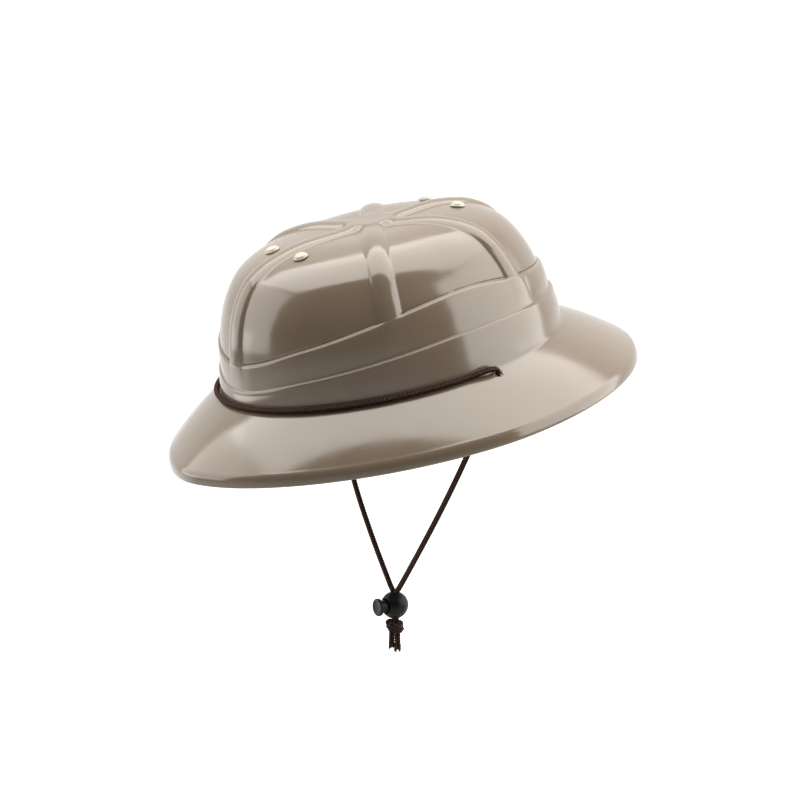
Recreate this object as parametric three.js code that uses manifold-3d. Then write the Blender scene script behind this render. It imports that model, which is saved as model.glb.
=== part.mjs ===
// Safari hat: a glossy moulded plastic helmet with a wide brim and a braided chin cord.
// Units are millimetres, +Z is up, +X is the front and +Y is the wearer's left.
// The hat leans forward on the head, and its cord hangs plumb below it.
// The origin is where the crown meets the brim, 2 mm behind the middle of the head opening.

import * as THREE from 'three';
import Module from 'manifold-3d';
import { mergeVertices } from 'three/addons/utils/BufferGeometryUtils.js';

// Driving dimensions of the moulding
const PITCH = THREE.MathUtils.degToRad(12); // forward lean of the hat
const WALL = 2; // thickness of the moulded shell
const CROWN_FRONT_LENGTH = 109; // plain crown at its base, front to middle
const CROWN_BACK_LENGTH = 104.7; // plain crown at its base, middle to back
const CROWN_HALF_WIDTH = 91.4; // plain crown at its base, side to middle
// Crest of the brim's edge before and behind the middle; power 2 would be an ellipse, less is more pointed
const BRIM_FRONT = { length: 152, power: 1.78 };
const BRIM_BACK = { length: 150, power: 1.95 };
const BRIM_HALF_WIDTH = 127.5;
const BRIM_DROP = 25.3; // from the crown's base to the crest of the brim's edge
const BRIM_DROOP = 0.3; // share of the drop that comes from the brim's curve

// Plain crown section, from the middle of its top down to the brim
const CROWN_PROFILE = [
  { reach: 0, rise: 80.4 },
  { reach: 0.2, rise: 80.7 },
  { reach: 0.4, rise: 80.8 },
  { reach: 0.55, rise: 78.6 },
  { reach: 0.68, rise: 74.2 },
  { reach: 0.79, rise: 66.2 },
  { reach: 0.88, rise: 52 },
  { reach: 0.94, rise: 35 },
  { reach: 0.975, rise: 16.5 },
  { reach: 1, rise: 0 },
];
const FRONT_SWELL = 0.055; // share of its reach that the front of the crown gains at the top

// Six raised ribs that meet in a hub on top
const RIB_AZIMUTHS = [0, 61, 122, 180, 238, 299].map(THREE.MathUtils.degToRad);
const RIB_HALF_WIDTH = 7.5;
const RIB_RISE = 2.4;
const RIB_SECTION = [
  { across: -1, share: 0 },
  { across: -0.66, share: 0.78 },
  { across: 0, share: 1 },
  { across: 0.66, share: 0.78 },
  { across: 1, share: 0 },
];
const HUB_RINGS = [
  { radius: 5, rise: 3.2 },
  { radius: 9.5, rise: 3 },
  { radius: 13, rise: 2.5 },
];
const RIB_START = 15; // radius where the ribs leave the hub
const WIDEST_RIB_SPREAD = THREE.MathUtils.degToRad(27);

// Two moulded pleats round the crown: height of each pleat's upper edge by angle from the front
const PLEAT_EDGES = [
  { azimuth: 0, upper: 24, lower: 9 },
  { azimuth: 30, upper: 34, lower: 16.5 },
  { azimuth: 60, upper: 43.5, lower: 22.5 },
  { azimuth: 95, upper: 48.5, lower: 26 },
  { azimuth: 130, upper: 41.5, lower: 23.5 },
  { azimuth: 180, upper: 35, lower: 20 },
];
// Section of one pleat: share of its height downwards, and how far it stands out
const PLEAT_SECTION = [
  { down: 0, out: 0 },
  { down: 0.02, out: 1.5 },
  { down: 0.12, out: 2.1 },
  { down: 0.5, out: 2 },
  { down: 1, out: 1.2 },
];
const LOWER_PLEAT_STEP = 1.2; // the lower pleat starts where the upper one ends
const FRONT_PLEAT_SHARE = 0.4; // the pleats are this much shallower at the front
const FRONT_PLEAT_END = THREE.MathUtils.degToRad(55); // from here round the back they have their full depth
const RIB_BULGE = 0.4; // extra height of the upper pleat's edge over a rib
const INNER_BAND_OUT = 1.4; // how far the inside follows the pleats at the crown's base

// Turned-down lip round the brim: outwards and downwards from the crest
const LIP_SECTION = [
  { out: 1, drop: 1 },
  { out: 1.8, drop: 2.5 },
  { out: 2.4, drop: 4.6 },
  { out: 2.6, drop: 8.2 },
  { out: 0.9, drop: 8.2 },
  { out: 0.5, drop: 4.4 },
];

// Mesh density of the shell
const PANEL_COLUMNS = 6;
const CROWN_ROWS = 14;
const BRIM_ROWS = 7;
const UNDERSIDE_ROWS = 4;
const INNER_WALL_ROWS = 6;
const INNER_TOP_ROWS = 8;
const INNER_CORNER_DROP = 1.5; // depth of the inside corner below the crown's base

// Vent studs beside the front and back ribs
const STUD_PLACES = [
  { name: 'vent_stud_front_left', forward: 60, aside: 17 },
  { name: 'vent_stud_front_right', forward: 60, aside: -17 },
  { name: 'vent_stud_back_left', forward: -51, aside: 18 },
  { name: 'vent_stud_back_right', forward: -51, aside: -18 },
];
const STUD_RADIUS = 4.5;
const STUD_HEIGHT = 2.4;
const STUD_SIDES = 16;

// Chin cord
const CORD_RADIUS = 1.8;
const CORD_SIDES = 8;
const BAND_STEP = 5.5; // length of one step of the cord's front stretch, which turns into the holes
const STRAND_STEP = 9; // length of one step of a hanging stretch
const GAP = 0.3; // clearance between pieces
const HOLE_AZIMUTH = THREE.MathUtils.degToRad(96);
const HOLE_RADIUS = 2.7;
const HOLE_FROM_WALL = 3.4; // middle of a cord hole, out from the crown's wall
const HOLE_MEETING_DROP = 3.6; // depth inside the hole where two lengths of cord meet
const STRAND_BOW = { aside: 8, forward: 3.5 }; // how far a stiff hanging length bows at half way
// A hanging length starts to turn into the toggle above it, and runs straight from just below the ball's top
const STRAND_NECK = { aside: 3.4, rise: 3.8, depth: 0.3 };
const CORD_PAIR_HALF_SPACING = 1.95; // the two lengths run side by side through the toggle

// Ball toggle with a push plunger that points to the front
const TOGGLE_DROP = 159; // below the origin
const BALL_RADIUS = 8.5;
const PLUNGER_RADIUS = 5.5; // head of the plunger
const PLUNGER_FACE = 13; // face of the head, from the middle of the ball
const PLUNGER_HEAD_BACK = 9.3;
const PLUNGER_CHAMFER = 0.6;
const PLUNGER_TRAVEL = 2.4;
const STEM_RADIUS = 4.6; // stem behind the head, inside the ball
const STEM_BACK = -2.9;
const BORE_RADIUS = 4.9;
const BORE_END = -5.6;
const CHANNEL_HALF_DEPTH = 2.05; // cord channel, front to back
const CHANNEL_HALF_WIDTH = 3.95; // cord channel, side to side

// Stopper knot and its two tails
const KNOT_TOP = 9; // below the middle of the ball
const KNOT_HEIGHT = 9.2;
const KNOT_LOBES = [
  { level: 0, radius: 2.6 },
  { level: 0.18, radius: 5.8 },
  { level: 0.36, radius: 5 },
  { level: 0.55, radius: 6.2 },
  { level: 0.74, radius: 4.7 },
  { level: 0.9, radius: 4.6 },
  { level: 1, radius: 3.4 },
];
const KNOT_FLATTENING = 0.8; // share of the knot's width that it is thick
const KNOT_TURN = THREE.MathUtils.degToRad(50); // the knot and the tails are turned about the cord
const TAILS = [
  { name: 'cord_tail_left', side: 1, length: 11.8 },
  { name: 'cord_tail_right', side: -1, length: 10.6 },
];
const TAIL_SPREAD = 0.3; // how far a tail leans away from the other by its end

const COLOURS = { shell: 0xb3a797, stud: 0xd8d0be, cord: 0x35201a, toggle: 0x17171a };

const wasm = await Module();
wasm.setup();

function shellMaterial() {
  return new THREE.MeshStandardMaterial({ color: COLOURS.shell, roughness: 0.18, metalness: 0 });
}

function studMaterial() {
  return new THREE.MeshStandardMaterial({ color: COLOURS.stud, roughness: 0.3, metalness: 0 });
}

function cordMaterial() {
  return new THREE.MeshStandardMaterial({ color: COLOURS.cord, roughness: 0.85, metalness: 0 });
}

function toggleMaterial() {
  return new THREE.MeshStandardMaterial({ color: COLOURS.toggle, roughness: 0.4, metalness: 0 });
}

// Booleans

function toSolid(geometry) {
  const bare = geometry.clone();
  bare.deleteAttribute('normal');
  bare.deleteAttribute('uv');
  const merged = mergeVertices(bare, 1e-4);
  return new wasm.Manifold(new wasm.Mesh({
    numProp: 3,
    vertProperties: new Float32Array(merged.attributes.position.array),
    triVerts: new Uint32Array(merged.index.array),
  }));
}

function toGeometry(solid) {
  const mesh = solid.getMesh();
  const geometry = new THREE.BufferGeometry();
  geometry.setAttribute('position', new THREE.BufferAttribute(mesh.vertProperties, 3));
  geometry.setIndex(new THREE.BufferAttribute(mesh.triVerts, 1));
  geometry.computeVertexNormals();
  return geometry;
}

function cutAway(geometry, cutters) {
  const cut = cutters.reduce((solid, cutter) => solid.subtract(toSolid(cutter)), toSolid(geometry));
  return toGeometry(cut);
}

// Shape of the moulding, by azimuth from the front

const profileCurve = new THREE.SplineCurve(
  CROWN_PROFILE.map(({ reach, rise }) => new THREE.Vector2(reach, rise)));

function ovalRadius(azimuth, halfLength, halfWidth, power) {
  const along = Math.abs(Math.cos(azimuth)) / halfLength;
  const across = Math.abs(Math.sin(azimuth)) / halfWidth;
  return (along ** power + across ** power) ** (-1 / power);
}

function crownRadius(azimuth) {
  const halfLength = Math.cos(azimuth) > 0 ? CROWN_FRONT_LENGTH : CROWN_BACK_LENGTH;
  return ovalRadius(azimuth, halfLength, CROWN_HALF_WIDTH, 2);
}

// The crown's radius at a height: its front swells out towards the top
function leaningRadius(azimuth, rise) {
  const forward = Math.cos(azimuth);
  const height = Math.max(0, rise) / CROWN_PROFILE[0].rise;
  const swell = FRONT_SWELL * Math.max(0, forward) * height;
  return crownRadius(azimuth) * (1 + swell);
}

// Place on the profile curve of a point on the flat top, by its distance from the middle
function profileOnTop(azimuth, radius) {
  return profileAtReach(radius / leaningRadius(azimuth, CROWN_PROFILE[0].rise));
}

function brimRadius(azimuth) {
  const { length, power } = Math.cos(azimuth) > 0 ? BRIM_FRONT : BRIM_BACK;
  return ovalRadius(azimuth, length, BRIM_HALF_WIDTH, power);
}

function pleatCurve(column) {
  const angles = PLEAT_EDGES.map((row) => THREE.MathUtils.degToRad(row.azimuth));
  const heights = PLEAT_EDGES.map((row) => row[column]);
  const curve = new THREE.CubicInterpolant(angles, heights, 1);
  curve.settings = { endingStart: THREE.ZeroSlopeEnding, endingEnd: THREE.ZeroSlopeEnding };
  return (azimuth) => curve.evaluate(Math.abs(Math.atan2(Math.sin(azimuth), Math.cos(azimuth))))[0];
}

const upperEdge = pleatCurve('upper');
const lowerEdge = pleatCurve('lower');

// Place on the profile curve where the crown has a given height, below its flat top
function profileAtRise(rise) {
  let above = 0.4;
  let below = 1;
  for (let step = 0; step < 30; step += 1) {
    const middle = (above + below) / 2;
    if (profileCurve.getPoint(middle).y > rise) above = middle;
    else below = middle;
  }
  return (above + below) / 2;
}

function profileAtReach(reach) {
  let inner = 0;
  let outer = 0.5;
  for (let step = 0; step < 30; step += 1) {
    const middle = (inner + outer) / 2;
    if (profileCurve.getPoint(middle).x < reach) inner = middle;
    else outer = middle;
  }
  return (inner + outer) / 2;
}

function polar(azimuth, radius, height) {
  return new THREE.Vector3(radius * Math.cos(azimuth), radius * Math.sin(azimuth), height);
}

// A point of the crown, raised from the plain surface along its normal
function crownPoint(azimuth, place, raised) {
  const at = profileCurve.getPoint(place);
  const base = leaningRadius(azimuth, at.y);
  const tangent = profileCurve.getTangent(place);
  const normal = new THREE.Vector2(-tangent.y, tangent.x * base).normalize();
  return polar(azimuth, at.x * base + raised * normal.x, at.y + raised * normal.y);
}

// A point of the band, moved straight out from the plain crown
function bandPoint(azimuth, rise, out) {
  const reach = profileCurve.getPoint(profileAtRise(rise)).x;
  return polar(azimuth, reach * leaningRadius(azimuth, rise) + out, rise);
}

function bandFoot(azimuth) {
  return crownRadius(azimuth) + LOWER_PLEAT_STEP + PLEAT_SECTION.at(-1).out;
}

// A point of the brim: share 0 at the crown, 1 at the crest of the edge
function brimPoint(azimuth, share, raised = 0) {
  const foot = bandFoot(azimuth);
  const width = brimRadius(azimuth) - foot;
  const slope = -BRIM_DROP * (1 - BRIM_DROOP + 2 * BRIM_DROOP * share);
  const normal = new THREE.Vector2(-slope, width).normalize();
  const height = -BRIM_DROP * ((1 - BRIM_DROOP) * share + BRIM_DROOP * share * share);
  return polar(azimuth, foot + width * share + raised * normal.x, height + raised * normal.y);
}

// Share of their depth that the pleats have at an angle from the front
function pleatDepth(azimuth) {
  const angle = Math.abs(Math.atan2(Math.sin(azimuth), Math.cos(azimuth)));
  return THREE.MathUtils.lerp(FRONT_PLEAT_SHARE, 1, THREE.MathUtils.smoothstep(angle, 0, FRONT_PLEAT_END));
}

// Columns of the shell's mesh: they follow the edges of the ribs, which keep their width
function shellColumns(reach) {
  const spreadAt = (azimuth) => Math.min(
    WIDEST_RIB_SPREAD, Math.asin(Math.min(1, RIB_HALF_WIDTH / (reach * crownRadius(azimuth)))));
  const columns = [];
  RIB_AZIMUTHS.forEach((middle, rib) => {
    const next = RIB_AZIMUTHS[rib + 1] ?? RIB_AZIMUTHS[0] + 2 * Math.PI;
    const spread = spreadAt(middle);
    const nextEdge = next - spreadAt(next);
    for (const { across, share } of RIB_SECTION) columns.push({ azimuth: middle + across * spread, share });
    for (let step = 1; step <= PANEL_COLUMNS; step += 1) {
      const along = step / (PANEL_COLUMNS + 1);
      columns.push({ azimuth: THREE.MathUtils.lerp(middle + spread, nextEdge, along), share: 0 });
    }
  });
  return columns;
}

function outerRings() {
  const rings = [];
  for (const { radius, rise } of HUB_RINGS) {
    const reach = radius / crownRadius(0);
    rings.push(shellColumns(reach).map(({ azimuth }) => (
      crownPoint(azimuth, profileOnTop(azimuth, radius), rise))));
  }
  for (let row = 0; row < CROWN_ROWS; row += 1) {
    const along = row / (CROWN_ROWS - 1);
    const placeAt = (azimuth) => {
      const start = profileOnTop(azimuth, RIB_START);
      return THREE.MathUtils.lerp(start, profileAtRise(upperEdge(azimuth)), along);
    };
    const reach = profileCurve.getPoint(placeAt(0)).x;
    rings.push(shellColumns(reach).map(({ azimuth, share }) => (
      crownPoint(azimuth, placeAt(azimuth), share * RIB_RISE))));
  }
  const columns = shellColumns(1);
  for (const { down, out } of PLEAT_SECTION.slice(1)) {
    rings.push(columns.map(({ azimuth, share }) => {
      const rise = THREE.MathUtils.lerp(upperEdge(azimuth), lowerEdge(azimuth), down);
      return bandPoint(azimuth, rise, pleatDepth(azimuth) * out + RIB_BULGE * share * (1 - down));
    }));
  }
  for (const { down, out } of PLEAT_SECTION.slice(1)) {
    rings.push(columns.map(({ azimuth }) => {
      const depth = pleatDepth(azimuth);
      const foot = (1 - depth) * down * (LOWER_PLEAT_STEP + PLEAT_SECTION.at(-1).out);
      return bandPoint(azimuth, lowerEdge(azimuth) * (1 - down), depth * (LOWER_PLEAT_STEP + out) + foot);
    }));
  }
  for (let row = 1; row <= BRIM_ROWS; row += 1) {
    rings.push(columns.map(({ azimuth }) => brimPoint(azimuth, row / BRIM_ROWS)));
  }
  for (const { out, drop } of LIP_SECTION) {
    rings.push(columns.map(({ azimuth }) => (
      polar(azimuth, brimRadius(azimuth) + out, -BRIM_DROP - drop))));
  }
  return rings;
}

function innerRings() {
  const rings = [];
  const columns = shellColumns(1);
  for (let row = UNDERSIDE_ROWS; row >= 1; row -= 1) {
    rings.push(columns.map(({ azimuth }) => brimPoint(azimuth, row / (UNDERSIDE_ROWS + 0.3), -WALL)));
  }
  rings.push(columns.map(({ azimuth }) => (
    polar(azimuth, crownRadius(azimuth) + INNER_BAND_OUT - WALL, -INNER_CORNER_DROP))));
  for (let row = 1; row <= INNER_WALL_ROWS; row += 1) {
    const along = row / INNER_WALL_ROWS;
    rings.push(columns.map(({ azimuth }) => (
      bandPoint(azimuth, upperEdge(azimuth) * along, INNER_BAND_OUT * (1 - along) - WALL))));
  }
  for (let row = 1; row <= INNER_TOP_ROWS; row += 1) {
    const along = row / (INNER_TOP_ROWS + 0.5);
    rings.push(columns.map(({ azimuth }) => {
      const place = profileAtRise(upperEdge(azimuth)) * (1 - along);
      return crownPoint(azimuth, place, -WALL);
    }));
  }
  return rings;
}

// A closed skin over rings of equal length, with a single point at each end
function skinGeometry(firstPole, rings, lastPole) {
  const count = rings[0].length;
  const points = [firstPole, ...rings.flat(), lastPole];
  const last = points.length - 1;
  const faces = [];
  const at = (ring, column) => 1 + ring * count + (column % count);
  for (let column = 0; column < count; column += 1) {
    faces.push(0, at(0, column), at(0, column + 1));
    faces.push(last, at(rings.length - 1, column + 1), at(rings.length - 1, column));
  }
  for (let ring = 0; ring + 1 < rings.length; ring += 1) {
    for (let column = 0; column < count; column += 1) {
      faces.push(at(ring, column), at(ring + 1, column), at(ring + 1, column + 1));
      faces.push(at(ring, column), at(ring + 1, column + 1), at(ring, column + 1));
    }
  }
  const geometry = new THREE.BufferGeometry().setFromPoints(points);
  geometry.setIndex(faces);
  geometry.computeVertexNormals();
  return geometry;
}

function holeCentre(side) {
  const azimuth = side * HOLE_AZIMUTH;
  return polar(azimuth, bandFoot(azimuth) + HOLE_FROM_WALL, 0);
}

function holeCutter(side) {
  const length = 30;
  const cutter = new THREE.CylinderGeometry(HOLE_RADIUS, HOLE_RADIUS, length, 12);
  cutter.rotateX(Math.PI / 2);
  const centre = holeCentre(side);
  cutter.translate(centre.x, centre.y, centre.z);
  return cutter;
}

function shell() {
  const topPole = new THREE.Vector3(0, 0, CROWN_PROFILE[0].rise + HUB_RINGS[0].rise + 0.1);
  const insidePole = new THREE.Vector3(0, 0, CROWN_PROFILE[0].rise - WALL);
  const moulding = skinGeometry(topPole, [...outerRings(), ...innerRings()], insidePole);
  const mesh = new THREE.Mesh(cutAway(moulding, [holeCutter(1), holeCutter(-1)]), shellMaterial());
  mesh.name = 'shell';
  return mesh;
}

// Vent studs

function studGeometry() {
  const profile = [
    new THREE.Vector2(0, 0),
    new THREE.Vector2(STUD_RADIUS * 0.8, 0),
    new THREE.Vector2(STUD_RADIUS, STUD_HEIGHT * 0.3),
    new THREE.Vector2(STUD_RADIUS * 0.92, STUD_HEIGHT * 0.65),
    new THREE.Vector2(STUD_RADIUS * 0.6, STUD_HEIGHT * 0.93),
    new THREE.Vector2(0, STUD_HEIGHT),
  ];
  const geometry = new THREE.LatheGeometry(profile, STUD_SIDES);
  geometry.rotateX(Math.PI / 2);
  return geometry;
}

function ventStud({ name, forward, aside }) {
  const azimuth = Math.atan2(aside, forward);
  const place = profileOnTop(azimuth, Math.hypot(forward, aside));
  const foot = crownPoint(azimuth, place, GAP);
  const away = crownPoint(azimuth, place, 1 + GAP).sub(foot);
  const mesh = new THREE.Mesh(studGeometry(), studMaterial());
  mesh.name = name;
  mesh.position.copy(foot);
  mesh.quaternion.setFromUnitVectors(new THREE.Vector3(0, 0, 1), away.normalize());
  return mesh;
}

// Cord tubes

function cordTube(name, points, stepLength) {
  const path = new THREE.CatmullRomCurve3(points, false, 'centripetal');
  const section = new THREE.Shape();
  for (let side = 0; side < CORD_SIDES; side += 1) {
    const angle = (side * 2 * Math.PI) / CORD_SIDES;
    const corner = [CORD_RADIUS * Math.cos(angle), CORD_RADIUS * Math.sin(angle)];
    if (side === 0) section.moveTo(...corner);
    else section.lineTo(...corner);
  }
  section.closePath();
  const geometry = new THREE.ExtrudeGeometry(section, {
    steps: Math.ceil(path.getLength() / stepLength),
    extrudePath: path,
    bevelEnabled: false,
  });
  const mesh = new THREE.Mesh(geometry, cordMaterial());
  mesh.name = name;
  return mesh;
}

// Middle of the cord where it lies in the corner between the crown and the brim
function cordOnBrim(azimuth, out = 0, lift = 0) {
  const nestle = CORD_RADIUS + GAP + 0.1;
  const foot = bandFoot(azimuth);
  const share = (nestle + out) / (brimRadius(azimuth) - foot);
  const onBrim = brimPoint(azimuth, share, nestle + lift);
  return polar(azimuth, foot + nestle + out, onBrim.z + nestle * 0.12);
}

// One half of the front stretch, from its hole to the middle of the front
function frontHalf(side) {
  const hole = holeCentre(side);
  const points = [
    hole.clone().setZ(-HOLE_MEETING_DROP),
    hole.clone().setZ(-HOLE_MEETING_DROP + 3.4),
  ];
  for (const degrees of [93, 89.5, 85, 75, 62, 48, 34, 22, 11]) {
    const azimuth = side * THREE.MathUtils.degToRad(degrees);
    const towardsHole = THREE.MathUtils.smoothstep(degrees, 85, 93);
    points.push(cordOnBrim(azimuth, towardsHole * 1.3, towardsHole * 1.4));
  }
  return points;
}

function cordBand() {
  const points = [...frontHalf(1), cordOnBrim(0), ...frontHalf(-1).reverse()];
  return cordTube('cord_band', points, BAND_STEP);
}

// One hanging length: out of its hole, down to the toggle, through it and down to the knot
function cordStrand(name, side) {
  const down = new THREE.Vector3(0, 0, -1);
  const toWorld = new THREE.Matrix4().makeRotationY(PITCH);
  const start = holeCentre(side).setZ(-HOLE_MEETING_DROP - GAP).applyMatrix4(toWorld);
  const leaving = down.clone().applyMatrix4(toWorld);
  const toggleTop = new THREE.Vector3(0, side * CORD_PAIR_HALF_SPACING, -TOGGLE_DROP + BALL_RADIUS - STRAND_NECK.depth);
  const points = [start, start.clone().addScaledVector(leaving, 3.5)];
  const neck = toggleTop.clone().add(new THREE.Vector3(0, side * STRAND_NECK.aside, STRAND_NECK.rise));
  const turned = points[1].clone().add(new THREE.Vector3(0.6, -side * 2.2, -5.5));
  for (const share of [0, 0.2, 0.4, 0.6, 0.8, 1]) {
    const bow = Math.sin(Math.PI * share);
    const aside = new THREE.Vector3(bow * STRAND_BOW.forward, side * bow * STRAND_BOW.aside, 0);
    points.push(turned.clone().lerp(neck, share).add(aside));
  }
  points.push(toggleTop);
  for (const level of [4, -4]) points.push(toggleTop.clone().setZ(-TOGGLE_DROP + level));
  points.push(toggleTop.clone().setZ(-TOGGLE_DROP - KNOT_TOP + GAP + 0.1));
  return cordTube(name, points, STRAND_STEP);
}

// Toggle

function channelCutter(fromX, toX) {
  const box = new THREE.BoxGeometry(toX - fromX, 2 * CHANNEL_HALF_WIDTH, 4 * BALL_RADIUS);
  box.translate((fromX + toX) / 2, 0, 0);
  return box;
}

function lieAlongX(geometry) {
  return geometry.rotateZ(-Math.PI / 2);
}

function toggleBody() {
  const ball = new THREE.SphereGeometry(BALL_RADIUS, 24, 14);
  const boreLength = 2 * BALL_RADIUS;
  const bore = lieAlongX(new THREE.CylinderGeometry(BORE_RADIUS, BORE_RADIUS, boreLength, 24));
  bore.translate(BORE_END + boreLength / 2, 0, 0);
  const geometry = cutAway(ball, [bore, channelCutter(-CHANNEL_HALF_DEPTH, CHANNEL_HALF_DEPTH)]);
  const mesh = new THREE.Mesh(geometry, toggleMaterial());
  mesh.name = 'toggle_body';
  mesh.position.z = -TOGGLE_DROP;
  return mesh;
}

function togglePlunger() {
  const profile = [
    new THREE.Vector2(0, STEM_BACK),
    new THREE.Vector2(STEM_RADIUS, STEM_BACK),
    new THREE.Vector2(STEM_RADIUS, PLUNGER_HEAD_BACK),
    new THREE.Vector2(PLUNGER_RADIUS, PLUNGER_HEAD_BACK),
    new THREE.Vector2(PLUNGER_RADIUS, PLUNGER_FACE - PLUNGER_CHAMFER),
    new THREE.Vector2(PLUNGER_RADIUS - PLUNGER_CHAMFER, PLUNGER_FACE),
    new THREE.Vector2(0, PLUNGER_FACE),
  ];
  const stem = lieAlongX(new THREE.LatheGeometry(profile, 24));
  const slot = channelCutter(-CHANNEL_HALF_DEPTH, CHANNEL_HALF_DEPTH + PLUNGER_TRAVEL);
  const mesh = new THREE.Mesh(cutAway(stem, [slot]), toggleMaterial());
  mesh.name = 'toggle_plunger';
  mesh.position.z = -TOGGLE_DROP;
  return mesh;
}

// Stopper knot and tails

function cordKnot() {
  const profile = [new THREE.Vector2(0, 0)];
  for (const { level, radius } of KNOT_LOBES) profile.push(new THREE.Vector2(radius, -level * KNOT_HEIGHT));
  profile.push(new THREE.Vector2(0, -KNOT_HEIGHT));
  profile.reverse();
  const geometry = new THREE.LatheGeometry(profile, 16);
  geometry.rotateX(Math.PI / 2);
  geometry.scale(KNOT_FLATTENING, 1, 1);
  geometry.rotateZ(KNOT_TURN);
  const mesh = new THREE.Mesh(geometry, cordMaterial());
  mesh.name = 'cord_knot';
  mesh.position.z = -TOGGLE_DROP - KNOT_TOP;
  return mesh;
}

function cordTail({ name, side, length }) {
  const top = -TOGGLE_DROP - KNOT_TOP - KNOT_HEIGHT - GAP;
  const points = [0, 0.5, 1].map((share) => (
    new THREE.Vector3(0, side * (CORD_PAIR_HALF_SPACING + TAIL_SPREAD * share), top - share * length)
      .applyAxisAngle(new THREE.Vector3(0, 0, 1), KNOT_TURN)));
  return cordTube(name, points, STRAND_STEP);
}

// Assembly: the moulding and what lies on it lean forward, and the hanging pieces are plumb

const leaning = new THREE.Group();
leaning.rotation.y = PITCH;
leaning.add(shell(), ...STUD_PLACES.map(ventStud), cordBand());

const hat = new THREE.Group();
hat.add(
  leaning,
  cordStrand('cord_strand_left', 1),
  cordStrand('cord_strand_right', -1),
  toggleBody(),
  togglePlunger(),
  cordKnot(),
  ...TAILS.map(cordTail),
);

export default hat;
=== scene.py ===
"""Looks of the safari hat: moulded shell, vent studs, braided chin cord, ball toggle and knot.

Shapes are worked out in millimetres, with +X to the front, +Y to the wearer's left and +Z up,
and turned into metres when a mesh is made.
"""
import math

import bmesh
import bpy
import numpy as np
from mathutils import Matrix, Vector

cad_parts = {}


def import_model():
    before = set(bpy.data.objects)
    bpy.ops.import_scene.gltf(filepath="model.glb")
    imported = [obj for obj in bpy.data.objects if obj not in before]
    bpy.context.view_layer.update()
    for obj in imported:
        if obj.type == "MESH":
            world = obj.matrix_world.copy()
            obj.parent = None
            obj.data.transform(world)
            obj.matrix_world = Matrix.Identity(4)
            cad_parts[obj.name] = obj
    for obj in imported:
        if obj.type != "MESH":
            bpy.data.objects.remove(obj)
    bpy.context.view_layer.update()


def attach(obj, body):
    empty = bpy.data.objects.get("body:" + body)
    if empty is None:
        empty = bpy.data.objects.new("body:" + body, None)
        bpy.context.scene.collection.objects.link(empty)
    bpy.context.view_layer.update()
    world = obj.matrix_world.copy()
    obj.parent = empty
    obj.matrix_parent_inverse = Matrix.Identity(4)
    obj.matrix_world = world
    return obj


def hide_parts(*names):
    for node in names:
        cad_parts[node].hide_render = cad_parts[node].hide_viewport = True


MM = 0.001

# Sizes of the moulding, as in the part's source
PITCH = math.radians(12)
WALL = 2.0
CROWN_FRONT_LENGTH = 109.0
CROWN_BACK_LENGTH = 104.7
CROWN_HALF_WIDTH = 91.4
BRIM_FRONT_LENGTH = 152.0
BRIM_BACK_LENGTH = 150.0
BRIM_HALF_WIDTH = 127.5
BRIM_DROP = 25.3
BRIM_DROOP = 0.3
BRIM_FRONT_POWER = 1.78
BRIM_BACK_POWER = 1.95
CROWN_PROFILE = np.array([  # reach, rise
    (0, 80.4), (0.2, 80.7), (0.4, 80.8), (0.55, 78.6), (0.68, 74.2),
    (0.79, 66.2), (0.88, 52), (0.94, 35), (0.975, 16.5), (1, 0),
])
TOP_RISE = CROWN_PROFILE[0, 1]
FALL_START = 0.4  # the section only falls from this share of it on
SECTION_NUDGE = 1e-4  # share of the section over which its slope is taken
FRONT_SWELL = 0.055

# Ribs and the hub where they meet
RIB_AZIMUTHS = np.radians([0, 61, 122, 180, 238, 299])
RIB_HALF_WIDTH = 7.5
RIB_RISE = 2.4
RIB_SHAPE = np.array([  # distance from the rib's middle, share of its height
    (0, 1), (0.3, 0.94), (0.55, 0.79), (0.75, 0.56), (0.88, 0.35), (0.98, 0.16), (1.07, 0.04), (1.18, 0),
])
RIB_COLUMNS = np.array([-1.18, -1.11, -1.05, -1, -0.94, -0.87, -0.77, -0.62, -0.42, -0.2, 0])
PANEL_COLUMNS = 28
WIDEST_RIB_SPREAD = math.radians(24.5)
HUB_RISE = 3.1
HUB_BLEND = (11.0, 18.0)  # the hub turns into separate ribs between these radii
HUB_RADII = (1.2, 3, 5, 7, 9, 11, 12.5)
RIB_START = 14.0
CROWN_ROWS = 64
CROWN_END_RISE = 0.5  # the crown's last row lies this far above the band's edge

# Pleats of the band
PLEAT_AZIMUTHS = np.radians([0, 30, 60, 95, 130, 180])
UPPER_EDGES = np.array([24, 34, 43.5, 48.5, 41.5, 35])
LOWER_EDGES = np.array([9, 16.5, 22.5, 26, 23.5, 20])
PLEAT_LEDGE = np.array([  # drop below the edge, share of the pleat's step
    (-0.5, 0), (-0.22, 0.04), (-0.05, 0.15), (0.02, 0.32), (0.1, 0.5),
    (0.25, 0.68), (0.5, 0.83), (0.9, 0.94), (1.5, 0.99), (2.2, 1),
])
LEDGE_TOP = 0.7  # where a ledge starts, above its pleat's edge
PLEAT_FALL = np.array([(0, 2.12), (0.4, 2.05), (1, 1.2)])  # share downwards, how far it stands out
PLEAT_FALL_ROWS = 11
LOWER_PLEAT_STEP = 1.2
RIB_BULGE = 0.4
FRONT_PLEAT_SHARE = 0.4
FRONT_PLEAT_END = math.radians(55)

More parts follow.
